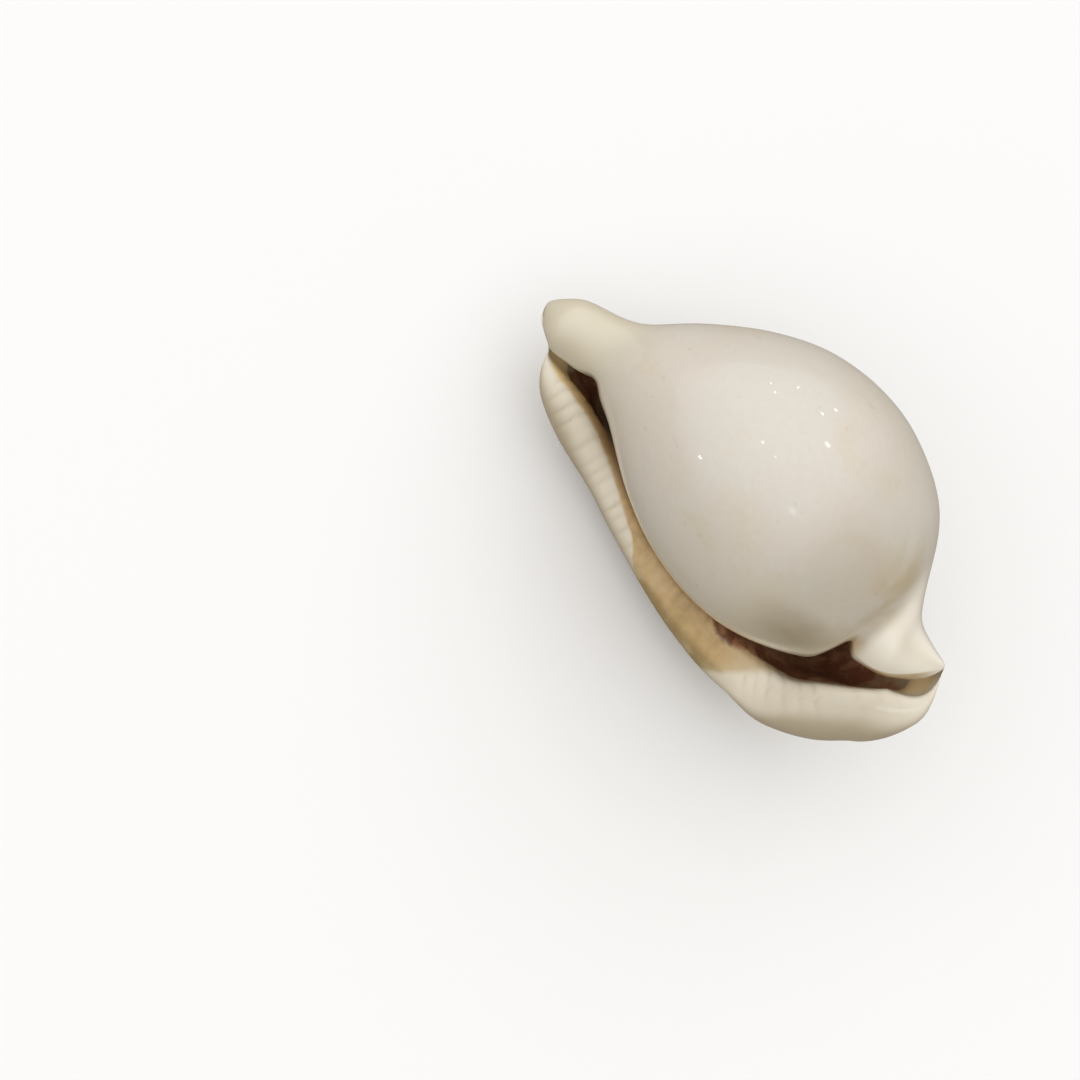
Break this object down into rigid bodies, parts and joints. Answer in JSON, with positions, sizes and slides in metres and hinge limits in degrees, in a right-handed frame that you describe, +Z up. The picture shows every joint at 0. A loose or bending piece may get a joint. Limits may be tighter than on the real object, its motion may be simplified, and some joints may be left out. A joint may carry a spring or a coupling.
{
  "type": "egg cowrie shell",
  "caption": "Glossy white egg-shaped sea shell with a narrow slit aperture, a thick folded outer lip and a blunt canal at each end.",
  "frame": {"origin": "on the ground under the middle of the shell's box, with the shell lying on the side of its outer lip", "axes": "+X along the shell towards its anterior knob, +Z up, +Y to the left when looking along +X"},
  "size_m": [0.0924, 0.0522, 0.0549],
  "materials": {
    "enamel": "glossy off-white natural enamel, brown inside the aperture"
  },
  "bodies": {
    "root": {"shell": "enamel"}
  },
  "joints": []
}
